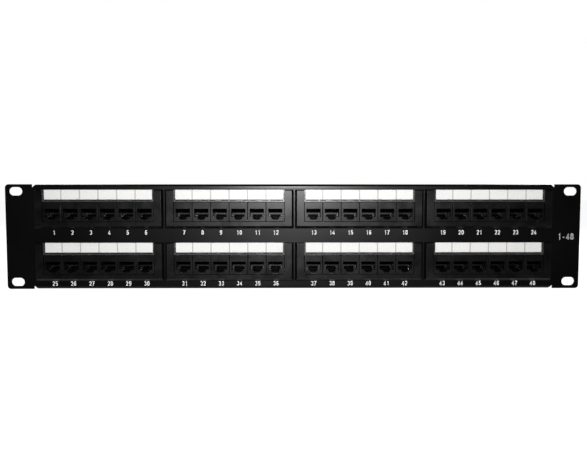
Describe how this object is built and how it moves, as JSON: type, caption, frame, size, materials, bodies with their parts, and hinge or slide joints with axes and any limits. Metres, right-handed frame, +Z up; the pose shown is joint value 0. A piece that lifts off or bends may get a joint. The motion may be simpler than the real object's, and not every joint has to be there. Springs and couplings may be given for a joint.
{
  "type": "patch panel",
  "caption": "Two-unit 19-inch rack patch panel: folded black steel frame, modules of modular-jack sockets with bezels and snap-off label covers, and punch-down wiring blocks behind.",
  "frame": {"origin": "centre of the four rack slots, on the plane that seats on the rack rails", "axes": "+X to the right seen from the front, +Y into the rack, +Z up"},
  "size_m": [0.4826, 0.0348, 0.088],
  "materials": {
    "powder_coat": "black powder coat, fine texture, satin",
    "bezel_plastic": "black moulded plastic, lightly textured, satin",
    "jack_plastic": "black moulded plastic, satin",
    "label_paper": "white card with thin printed dividers",
    "clear_plastic": "clear polycarbonate, polished",
    "circuit_board": "green solder mask, glossy",
    "wiring_block_plastic": "natural white moulded plastic",
    "contact_gold": "gold-plated spring wire, polished",
    "blade_tin": "tin-plated, satin",
    "screw_steel": "zinc-plated steel",
    "colour_label": "printed colour-code sticker, satin"
  },
  "bodies": {
    "panel": {"panel_frame": "powder_coat", "bezel_1": "bezel_plastic", "bezel_2": "bezel_plastic", "bezel_3": "bezel_plastic", "bezel_4": "bezel_plastic", "bezel_5": "bezel_plastic", "bezel_6": "bezel_plastic", "bezel_7": "bezel_plastic", "bezel_8": "bezel_plastic", "label_strip_1": "label_paper", "label_strip_2": "label_paper", "label_strip_3": "label_paper", "label_strip_4": "label_paper", "label_strip_5": "label_paper", "label_strip_6": "label_paper", "label_strip_7": "label_paper", "label_strip_8": "label_paper", "jack_housings_1": "jack_plastic", "jack_housings_2": "jack_plastic", "jack_housings_3": "jack_plastic", "jack_housings_4": "jack_plastic", "jack_housings_5": "jack_plastic", "jack_housings_6": "jack_plastic", "jack_housings_7": "jack_plastic", "jack_housings_8": "jack_plastic", "circuit_board_1": "circuit_board", "circuit_board_2": "circuit_board", "circuit_board_3": "circuit_board", "circuit_board_4": "circuit_board", "circuit_board_5": "circuit_board", "circuit_board_6": "circuit_board", "circuit_board_7": "circuit_board", "circuit_board_8": "circuit_board", "wiring_blocks_1": "wiring_block_plastic", "wiring_blocks_2": "wiring_block_plastic", "wiring_blocks_3": "wiring_block_plastic", "wiring_blocks_4": "wiring_block_plastic", "wiring_blocks_5": "wiring_block_plastic", "wiring_blocks_6": "wiring_block_plastic", "wiring_blocks_7": "wiring_block_plastic", "wiring_blocks_8": "wiring_block_plastic", "contact_carriers_upper_row": "jack_plastic", "contact_carriers_lower_row": "jack_plastic", "jack_contacts_upper_row": "contact_gold", "jack_contacts_lower_row": "contact_gold", "wiring_blades_upper_row": "blade_tin", "wiring_blades_lower_row": "blade_tin", "board_screws": "screw_steel", "wiring_labels": "colour_label"},
    "label_cover_1": {"label_cover_1": "clear_plastic"},
    "label_cover_2": {"label_cover_2": "clear_plastic"},
    "label_cover_3": {"label_cover_3": "clear_plastic"},
    "label_cover_4": {"label_cover_4": "clear_plastic"},
    "label_cover_5": {"label_cover_5": "clear_plastic"},
    "label_cover_6": {"label_cover_6": "clear_plastic"},
    "label_cover_7": {"label_cover_7": "clear_plastic"},
    "label_cover_8": {"label_cover_8": "clear_plastic"}
  },
  "joints": [
    {"name": "label_cover_1_pull_off", "type": "slide", "parent": "panel", "child": "label_cover_1", "axis": [0, -1, 0], "range_m": [0, 0.02]},
    {"name": "label_cover_2_pull_off", "type": "slide", "parent": "panel", "child": "label_cover_2", "axis": [0, -1, 0], "range_m": [0, 0.02]},
    {"name": "label_cover_3_pull_off", "type": "slide", "parent": "panel", "child": "label_cover_3", "axis": [0, -1, 0], "range_m": [0, 0.02]},
    {"name": "label_cover_4_pull_off", "type": "slide", "parent": "panel", "child": "label_cover_4", "axis": [0, -1, 0], "range_m": [0, 0.02]},
    {"name": "label_cover_5_pull_off", "type": "slide", "parent": "panel", "child": "label_cover_5", "axis": [0, -1, 0], "range_m": [0, 0.02]},
    {"name": "label_cover_6_pull_off", "type": "slide", "parent": "panel", "child": "label_cover_6", "axis": [0, -1, 0], "range_m": [0, 0.02]},
    {"name": "label_cover_7_pull_off", "type": "slide", "parent": "panel", "child": "label_cover_7", "axis": [0, -1, 0], "range_m": [0, 0.02]},
    {"name": "label_cover_8_pull_off", "type": "slide", "parent": "panel", "child": "label_cover_8", "axis": [0, -1, 0], "range_m": [0, 0.02]}
  ]
}
